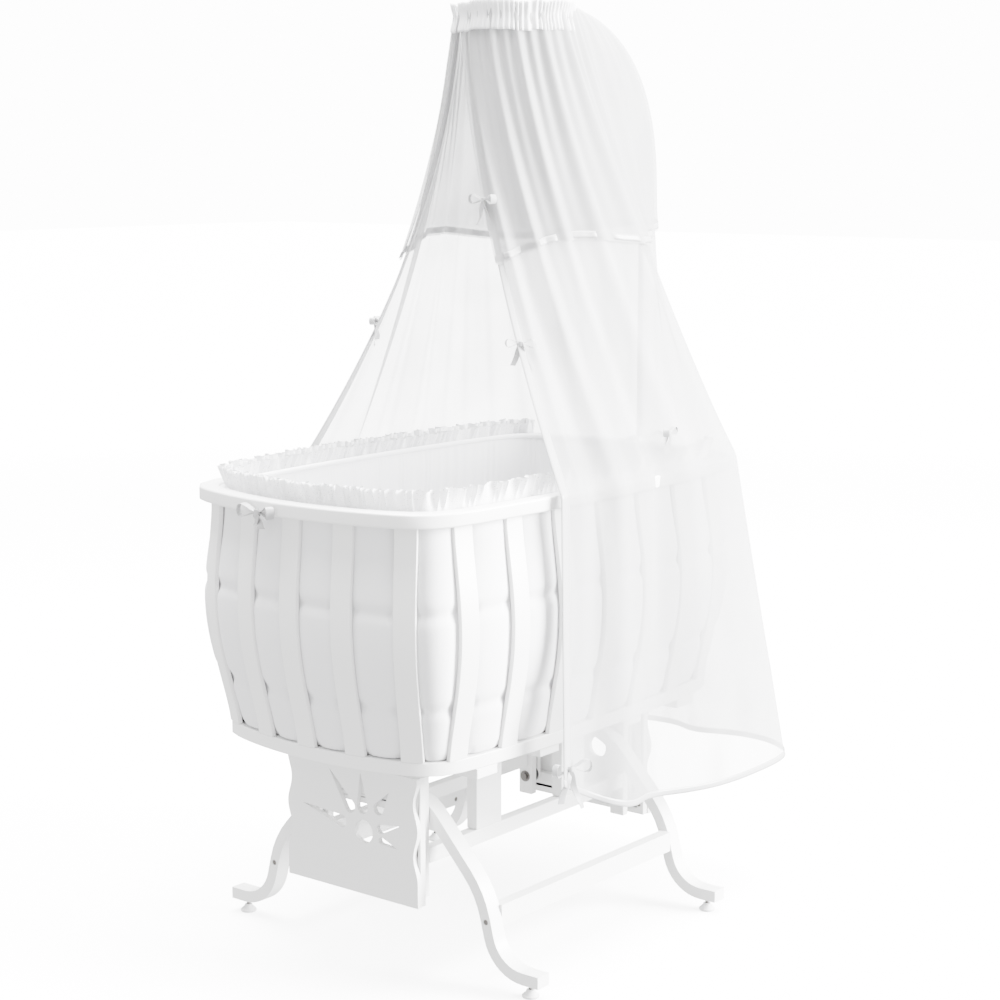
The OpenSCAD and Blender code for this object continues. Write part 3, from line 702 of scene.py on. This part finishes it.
class OBJECT_OT_crib_ruffle(Operator):
    """Makes the lace frill: two gathered layers round the rim, fanned open and scalloped at the top"""

    bl_idname = "object.crib_ruffle"
    bl_label = "Lace frill"

    def execute(self, context):
        folds = context.scene.crib_bedding.frill_folds
        layers = []
        start = math.radians(40)
        for layer, (inset, tall) in enumerate(((0.040, 1.0), (0.046, 0.82))):
            rng = np.random.default_rng(10 + layer)
            cols, rows = folds * 16, 12
            t = np.linspace(0, 1, cols)
            phi = start + (TURN - 2 * start) * t
            loose = sum(rng.uniform(0.4, 1) * np.sin(n * TURN * t + rng.uniform(0, TURN)) for n in rng.integers(4, 60, 12))
            share = np.linspace(0, 1, rows)[:, None]
            wave = np.sin(folds * TURN * t + 1.1 * loose + layer * 1.7)
            size = 0.8 + 0.25 * np.sin(folds * 0.37 * TURN * t + loose)
            across = 0.0085 * share ** 0.9 * wave * size
            scallop = 0.0022 * np.abs(np.sin(folds * 1.5 * TURN * t + loose))
            tall_here = (M.ruffle_high.z - M.ruffle_low.z - 0.004) * tall * (1 + 0.05 * np.sin(9 * TURN * t + loose))
            z = M.ruffle_low.z + share * tall_here + (share > 0.99) * scallop
            sideways = 0.0035 * share * np.cos(folds * TURN * t + 1.1 * loose)
            base = plan(M.rim_a - inset, M.rim_b - inset, phi)
            out = outward(M.rim_a - inset, M.rim_b - inset, phi)
            along = np.stack([-out[:, 1], out[:, 0]], -1)
            lean = 0.006 * share * (1 - 2 * layer)
            flat = base[None] + out[None] * (across + lean)[..., None] + along[None] * sideways[..., None]
            points = np.concatenate([flat, z[..., None]], -1)
            u = np.broadcast_to(t * 3.2, z.shape)
            v = share * 0.04 + np.zeros(cols)
            layers.append(grid(f"lace_frill_{layer}", points, (u, v)))
        for layer, obj in enumerate(layers):
            dress(obj, "lace")
            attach(obj, "basket")
        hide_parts("ruffle")
        return {"FINISHED"}


class OBJECT_OT_crib_mattress(Operator):
    """Makes the mattress: a soft box in the basket's outline, swollen as cloth"""

    bl_idname = "object.crib_mattress"
    bl_label = "Mattress"

    def execute(self, context):
        cols = 240
        phi = np.linspace(0, TURN, cols, endpoint=False)
        low, high = M.mattress_low.z, M.mattress_high.z - 0.004
        a, b = (M.mattress_high.x - M.mattress_low.x) / 2 - 0.003, (M.mattress_high.y - M.mattress_low.y) / 2 - 0.003
        turn = np.linspace(-math.pi / 2, math.pi / 2, 9)
        edge = 0.016
        inward = np.concatenate([[1, 0.5], 0.0 * turn, [0.5, 1]])
        profile = np.concatenate([[0, 0], edge * (1 - np.cos(turn)), [0, 0]])
        rounded = np.where(turn < 0, low + edge, high - edge) + edge * np.sin(turn)
        height = np.concatenate([[low, low], rounded, [high, high]])
        a_row = (a - profile) * (1 - inward)
        b_row = (b - profile) * (1 - inward)
        flat = plan(a_row[:, None], b_row[:, None], phi[None])
        points = np.concatenate([flat, np.broadcast_to(height[:, None, None], (*flat.shape[:2], 1))], -1)
        obj = grid("mattress_shown", points, round_u=True)
        modifier(obj, "WELD", merge_threshold=1e-4)
        modifier(obj, "REMESH", mode="VOXEL", voxel_size=0.006)
        mesh = bpy.data.meshes.new_from_object(obj.evaluated_get(context.evaluated_depsgraph_get()))
        obj.modifiers.clear()
        obj.data = mesh
        mesh.shade_smooth()
        co = coordinates(mesh)
        puff_up(obj, 2.5, 12, 0.004, (co[:, 2] < low + 0.01).astype(float))
        co = coordinates(obj.data)
        layer = obj.data.uv_layers.new(name="cloth")
        corner = np.empty(len(obj.data.loops), np.int32)
        obj.data.loops.foreach_get("vertex_index", corner)
        layer.data.foreach_set("uv", co[corner][:, :2].astype(np.float32).ravel())
        soften(obj)
        dress(obj, "cotton")
        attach(obj, "basket")
        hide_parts("mattress")
        return {"FINISHED"}


# ---- canopy ----
NET_TURN, HOOP_TURN = (math.radians(107), math.radians(-2.5)), (math.radians(175), math.radians(-30))
NET_A, NET_B = 0.546, 0.328
FALL, ARCH_POWER, RIDGE_POWER = 0.330, 2.3, 16
HANG_POWER, HEM_FLARE = (1.15, 0.55), (0.08, 0.20)


class Canopy:
    """The net's surface: from the hoop over the pole and outside the rim, down to its hem."""

    top = M.net_high.z
    rim = M.rim_high.z
    hem_a = M.net_high.x - M.middle
    hem_b = 0.344
    ring = M.hoop_radius + 0.001

    @classmethod
    def hem(cls, s):
        return 0.250 + 0.108 * np.abs(s) ** 7

    @staticmethod
    def turned(k, s):
        return k[0] * s + k[1] * s * s

    @classmethod
    def point(cls, s, z, off=0.0, out=0.0):
        """Point at a share s of the way round from one front edge (-1) to the other (1), at a height. Below the rim it
        falls straight to the hem; above it goes to the hoop slackly at the sides and along an arch over the pole."""
        phi, swept = cls.turned(NET_TURN, s), cls.turned(HOOP_TURN, s)
        w = np.maximum(0, np.cos(phi)) ** RIDGE_POWER
        r = cls.ring + 0.003 + off
        top = np.stack([cls.hoop_offset() + r * np.cos(swept), r * np.sin(swept)], -1)
        edge = plan(NET_A + off, NET_B + off, phi)
        edge[..., 0] -= M.middle
        hem = plan(cls.hem_a + off, cls.hem_b + off, phi)
        hem[..., 0] -= M.middle
        hem = hem * (1 + np.multiply.outer(np.abs(np.sin(2 * phi)) ** 6, HEM_FLARE))
        t = np.clip((cls.top - z) / (cls.top - cls.rim), 0, 1)
        fall = np.clip((cls.top - z) / FALL, 0, 1)
        arch = (1 - (1 - fall) ** ARCH_POWER) ** (1 / ARCH_POWER)
        g = ((1 - w) * t ** (HANG_POWER[0] + HANG_POWER[1] * s * s) + w * arch)[..., None]
        low = np.clip((cls.rim - z) / (cls.rim - cls.hem(s)), 0, 1.05)[..., None]
        flat = np.where(low > 0, edge + (hem - edge) * low, top + (edge - top) * g)
        if np.ndim(out) or out:
            away = flat - np.stack([cls.hoop_offset() + 0 * z, 0 * z], -1)
            away = away / np.maximum(np.linalg.norm(away, axis=-1, keepdims=True), 1e-6)
            flat = flat + away * (out * (1 - 0.8 * w))[..., None]
        flat[..., 0] += M.middle
        return np.concatenate([flat, z[..., None]], -1)

    @classmethod
    def hoop_offset(cls):
        return M.hoop_x - M.middle


def heights(s, top, bottom, rows):
    """Rows from the top down to the hem, closer together over the arch."""
    share = np.linspace(0, 1, rows)[:, None] ** 1.35
    return top - (top - bottom(s)[None]) * share


def fold_pattern(s, z, folds, depth, seed):
    """Gathers: many shallow folds at the hoop that run together into fewer, deeper ones towards the hem."""
    rng = np.random.default_rng(seed)
    drift = sum(rng.uniform(0.4, 1) * np.sin(n * s + rng.uniform(0, TURN)) for n in (1.3, 2.9, 4.1, 7.7))
    down = np.clip((Canopy.top - z) / 1.4, 0, 1)
    fine = np.sin(folds * math.pi * s + 1.5 * drift) * np.exp(-down * 3.2)
    middle = np.sin(folds * 0.5 * math.pi * s + 1.2 * drift + 1.5 * down)
    middle = middle * np.sin(math.pi * np.clip(down * 1.1, 0, 1)) ** 0.7
    broad = np.sin(folds * 0.23 * math.pi * s + 0.8 * drift + 2.2 * down) * down ** 1.2
    shape = 0.30 * fine * np.minimum(1, 0.25 + down * 10) + 0.45 * middle + 1.0 * broad
    return depth * shape, (np.abs(fine) ** 6 * 0.22 + np.abs(middle) ** 8 * 0.10 + np.abs(broad) ** 10 * 0.12)


def cloth_lengths(points):
    """Length along each row and down each column, for the cloth's own coordinates."""
    along = np.linalg.norm(np.diff(points, axis=1), axis=-1)
    down = np.linalg.norm(np.diff(points, axis=0), axis=-1)
    u = np.concatenate([np.zeros((len(points), 1)), np.cumsum(along, axis=1)], axis=1)
    v = np.concatenate([np.zeros((1, points.shape[1])), np.cumsum(down, axis=0)])
    return u, v


def gathered(obj, gather):
    layer = obj.data.attributes.new("gather", "FLOAT", "POINT")
    layer.data.foreach_set("value", np.clip(gather, 0, 1).astype(np.float32).ravel())


def net_sheet(name, off, bottom, rows, cols, seed, context, depth=1.0, reach=1.0):
    net = context.scene.crib_net
    s = np.linspace(-reach, reach, cols)
    z = heights(s, Canopy.top, bottom, rows)
    wide = np.broadcast_to(s, z.shape)
    fold, gather = fold_pattern(wide, z, net.folds, net.depth * depth, seed)
    points = Canopy.point(wide, z, off, fold)
    obj = grid(name, points, cloth_lengths(points))
    gathered(obj, gather)
    dress(obj, "net")
    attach(obj, "basket")
    return obj


def band(name, points, lift):
    """Ribbon sewn on a stretch of cloth: the stretch's own points, moved out by lift along their normals."""
    along = np.gradient(points, axis=1)
    down = np.gradient(points, axis=0)
    normal = np.cross(down, along)
    normal /= np.maximum(np.linalg.norm(normal, axis=-1, keepdims=True), 1e-9)
    raised = points + normal * lift
    obj = grid(name, raised, cloth_lengths(raised))
    modifier(obj, "SOLIDIFY", thickness=0.0005, offset=0)
    return obj


class OBJECT_OT_crib_net(Operator):
    """Makes the long net, gathered on the hoop, with satin ribbon down its front edges and along its hem"""

    bl_idname = "object.crib_net"
    bl_label = "Net"

    def execute(self, context):
        ribbon = context.scene.crib_net.ribbon
        obj = net_sheet("long_net", 0.0, Canopy.hem, 150, 520, 3, context)
        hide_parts("net_front", "net_back", "net_head")
        parts = []
        for edge in (-1, 1):
            z = heights(np.array([edge]), Canopy.top, Canopy.hem, 400)
            spread = np.clip(0.25 + (Canopy.top - z) / 0.85, 0.25, 1)
            s = edge - edge * np.linspace(0, 1, 4)[None] * ribbon / 0.55 / spread
            zz = np.broadcast_to(z, s.shape)
            fold, _ = fold_pattern(s, zz, context.scene.crib_net.folds, context.scene.crib_net.depth, 3)
            parts.append(band(f"front_ribbon_{edge}", Canopy.point(s, zz, 0.0, fold), 0.0012))
        s = np.linspace(-1, 1, 700)[None]
        share = np.linspace(0, 1, 4)[:, None]
        z = Canopy.hem(s) + ribbon * share
        wide = np.broadcast_to(s, z.shape)
        fold, _ = fold_pattern(wide, z, context.scene.crib_net.folds, context.scene.crib_net.depth, 3)
        parts.append(band("hem_ribbon", Canopy.point(wide, z, 0.0, fold)[::-1], 0.0012))
        whole = join("net_ribbon", parts)
        dress(whole, "satin")
        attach(whole, "basket")
        return {"FINISHED"}


def hood_hem(s):
    """Hem of the hood, a little longer at the front corners than at the sides."""
    return 1.285 - 0.03 * np.abs(s) ** 3 + 0.012 * np.cos(9 * s)


class OBJECT_OT_crib_hood(Operator):
    """Makes the short hood over the net, with ribbon threaded through its hem, and the gathered band on the hoop"""

    bl_idname = "object.crib_hood"
    bl_label = "Hood"

    def execute(self, context):
        net = context.scene.crib_net
        obj = net_sheet("net_hood_shown", 0.009, hood_hem, 90, 520, 3, context)
        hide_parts("net_hood")
        s = np.linspace(-1, 1, 1600)[None]
        z = hood_hem(s) + 0.004 + net.ribbon * np.linspace(0, 1, 4)[:, None]
        wide = np.broadcast_to(s, z.shape)
        fold, _ = fold_pattern(wide, z, net.folds, net.depth, 3)
        threaded = 0.0026 * np.tanh(3 * np.sin(wide * 46))
        points = Canopy.point(wide, z, 0.009, fold + threaded)[::-1]
        hem = grid("hood_ribbon", points, cloth_lengths(points))
        modifier(hem, "SOLIDIFY", thickness=0.0005, offset=0)
        dress(hem, "satin")
        cols, rows = 1200, 14
        turn = np.linspace(Canopy.turned(HOOP_TURN, -1), Canopy.turned(HOOP_TURN, 1), cols)
        share = np.linspace(0, 1, rows)[:, None]
        rng = np.random.default_rng(6)
        loose = sum(rng.uniform(0.4, 1) * np.sin(n * turn + rng.uniform(0, TURN)) for n in (2, 5, 9, 14))
        pleat = 0.0022 * np.sin(78 * turn + 1.6 * loose) * (0.5 + 0.5 * np.abs(np.cos(math.pi * share)))
        radius = M.hoop_radius + 0.014 + pleat + 0.004 * np.cos(math.pi * share) ** 2
        z = Canopy.top + 0.002 - 0.052 * share - 0.002 * np.sin(5 * turn + loose) + np.zeros(cols)
        points = np.stack([M.hoop_x + radius * np.cos(turn), radius * np.sin(turn), z], -1)
        top = grid("hoop_band", points, cloth_lengths(points))
        modifier(top, "SOLIDIFY", thickness=0.0012, offset=0)
        dress(top, "cotton")
        for part in (hem, top):
            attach(part, "basket")
        return {"FINISHED"}


def bow(name, centre, out, up, size, ribbon, tails=(1.0, 1.2)):
    """A tied bow: two loops, two tails and a knot, facing out, with up as its upright direction."""
    out = np.array(Vector(out).normalized())
    side = np.array(Vector(up).cross(Vector(out)).normalized())
    up = np.cross(out, side)
    centre = np.array(centre, float)
    parts = []
    for way in (-1, 1):
        t = np.linspace(0, 1, 40)
        turn = t * TURN
        reach = size * np.sin(turn / 2) ** 1.1
        swing = 0.36 * size * np.sin(turn) * np.sin(turn / 2)
        line = centre + np.outer(way * reach, side) + np.outer(swing + 0.05 * size * np.sin(turn / 2), up)
        line = line + np.outer(0.22 * size * np.sin(turn / 2) ** 2, out)
        wide = ribbon * (0.45 + 0.55 * np.sin(turn / 2) ** 0.6)
        across = out[None] * 0.94 + side[None] * way * 0.35 * np.cos(turn)[:, None]
        parts.append(strip(f"{name}_loop{way}", line, across, wide))
        length = size * (tails[0] if way < 0 else tails[1])
        drop = np.outer(-length * t, up) + np.outer(way * 0.35 * length * t ** 1.3, side)
        line = centre + drop + np.outer(0.05 * size * np.sin(2.5 * math.pi * t + way), out) + 0.03 * size * out
        across = side[None] * 0.9 + out[None] * 0.5 * np.sin(3 * t + way)[:, None]
        parts.append(strip(f"{name}_tail{way}", line, across, ribbon * (0.5 + 0.5 * np.minimum(1, t * 6))))
    turn = np.linspace(0, TURN, 25)
    line = centre + np.outer(0.32 * ribbon * np.cos(turn), side)
    line = line + np.outer(0.30 * ribbon * np.sin(turn) + 0.08 * size, out)
    parts.append(strip(f"{name}_knot", line, np.broadcast_to(up, line.shape), ribbon * 0.7))
    obj = join(name, parts)
    modifier(obj, "SOLIDIFY", thickness=0.0006, offset=0)
    soften(obj)
    dress(obj, "satin")
    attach(obj, "basket")
    return obj


def on_net(s, z, off=0.004):
    """Place and outward direction on the net."""
    s, z = np.array([[s]]), np.array([[z]])
    here = Canopy.point(s, z, off)[0, 0]
    near = Canopy.point(s, z, off + 0.01)[0, 0]
    return here, near - here


class OBJECT_OT_crib_bows(Operator):
    """Ties the satin bows on the net's edges, its side and the basket's rim"""

    bl_idname = "object.crib_bows"
    bl_label = "Bows"

    PLACES = (("bow_hood_corner", -0.985, 1.36, 0.030), ("bow_net_edge", -0.985, 1.11, 0.026),
              ("bow_far_edge", 0.985, 1.13, 0.024), ("bow_net_foot", -0.985, 0.385, 0.040),
              ("bow_net_side", -0.62, 0.935, 0.026))

    def execute(self, context):
        ribbon = context.scene.crib_net.ribbon
        for name, s, z, size in self.PLACES:
            here, out = on_net(s, z, 0.013 if z > 1.28 else 0.005)
            bow(name, here, out, (0, 0, 1), size, ribbon, (1.5, 1.9))
        low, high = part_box("rim_bow")
        here = ((low.x + high.x) / 2 - 0.001, (low.y + high.y) / 2, (low.z + high.z) / 2)
        tied = bow("rim_bow_shown", here, (-1, 0.05, 0), (0, 0, 1), 0.040, 0.016, (0.6, 0.7))
        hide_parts("rim_bow")
        return {"FINISHED"}


# ---- stage ----
class OBJECT_OT_crib_stage(Operator):
    """Sets the pale floor, the soft lights and the camera"""

    bl_idname = "object.crib_stage"
    bl_label = "Stage"

    CAMERA = (-3.10375, -2.506, 1.444)
    HEADING, PITCH = math.radians(38.6), math.radians(-9.2)
    LENS = 77.23
    FILL, BACKDROP = 2.3, 14.0

    def light(self, name, place, target, size, power):
        data = bpy.data.lights.new(name, "AREA")
        data.shape, data.size, data.energy = "DISK", size, power
        obj = bpy.data.objects.new(name, data)
        obj.location = place
        obj.rotation_euler = (Vector(target) - Vector(place)).to_track_quat("-Z", "Y").to_euler()
        bpy.context.scene.collection.objects.link(obj)

    def execute(self, context):
        size = 30.0
        x, y = np.meshgrid(np.linspace(-size, size, 5), np.linspace(-size, size, 5))
        floor = grid("floor", np.stack([x, y, 0 * x - 0.0005], -1), (x, y))
        dress(floor, "floor")
        floor.visible_diffuse = floor.visible_glossy = False
        world = bpy.data.worlds.new("studio")
        world.use_nodes = True
        nodes = world.node_tree.nodes
        background = nodes["Background"]
        background.inputs["Color"].default_value = (1, 1, 1, 1)
        seen = nodes.new("ShaderNodeLightPath")
        strength = nodes.new("ShaderNodeMapRange")
        strength.inputs["To Min"].default_value = self.FILL
        strength.inputs["To Max"].default_value = self.BACKDROP
        world.node_tree.links.new(seen.outputs["Is Camera Ray"], strength.inputs["Value"])
        world.node_tree.links.new(strength.outputs[0], background.inputs["Strength"])
        context.scene.world = world
        self.light("overhead", (0.5, 0.4, 5.0), (0, 0, 0.7), 5.0, 2800)
        self.light("key", (2.2, -4.0, 2.0), (0, 0, 0.6), 3.0, 3400)
        data = bpy.data.cameras.new("view")
        data.sensor_width, data.lens = 36.0, self.LENS
        data.clip_start, data.clip_end = 0.1, 200
        camera = bpy.data.objects.new("view", data)
        camera.location = self.CAMERA
        aim = Vector((math.cos(self.HEADING) * math.cos(self.PITCH), math.sin(self.HEADING) * math.cos(self.PITCH),
                      math.sin(self.PITCH)))
        camera.rotation_euler = aim.to_track_quat("-Z", "Y").to_euler()
        context.scene.collection.objects.link(camera)
        context.scene.camera = camera
        return {"FINISHED"}


class VIEW3D_PT_crib(Panel):
    """Lists the crib's sizes, colours and pieces"""

    bl_label = "Canopy crib"
    bl_space_type = "VIEW_3D"
    bl_region_type = "UI"
    bl_category = "Crib"

    def draw(self, context):
        for group in (context.scene.crib_timber, context.scene.crib_bedding, context.scene.crib_net):
            box = self.layout.box()
            for name in group.bl_rna.properties.keys():
                if name not in {"rna_type", "name"}:
                    box.prop(group, name)
        for piece in PIECES:
            self.layout.operator(piece.bl_idname)


PIECES = (
    OBJECT_OT_crib_stage, OBJECT_OT_crib_timber, OBJECT_OT_crib_slats, OBJECT_OT_crib_fittings, OBJECT_OT_crib_liner,
    OBJECT_OT_crib_bumper, OBJECT_OT_crib_ruffle, OBJECT_OT_crib_mattress, OBJECT_OT_crib_net, OBJECT_OT_crib_hood,
    OBJECT_OT_crib_bows,
)
CLASSES = (CribTimber, CribBedding, CribNet, *PIECES, VIEW3D_PT_crib)


def register():
    for cls in CLASSES:
        bpy.utils.register_class(cls)
    bpy.types.Scene.crib_timber = PointerProperty(type=CribTimber)
    bpy.types.Scene.crib_bedding = PointerProperty(type=CribBedding)
    bpy.types.Scene.crib_net = PointerProperty(type=CribNet)


def unregister():
    del bpy.types.Scene.crib_timber, bpy.types.Scene.crib_bedding, bpy.types.Scene.crib_net
    for cls in reversed(CLASSES):
        bpy.utils.unregister_class(cls)


def main():
    register()
    for piece in PIECES:
        group, name = piece.bl_idname.split(".")
        getattr(getattr(bpy.ops, group), name)()


if __name__ == "__main__":
    main()
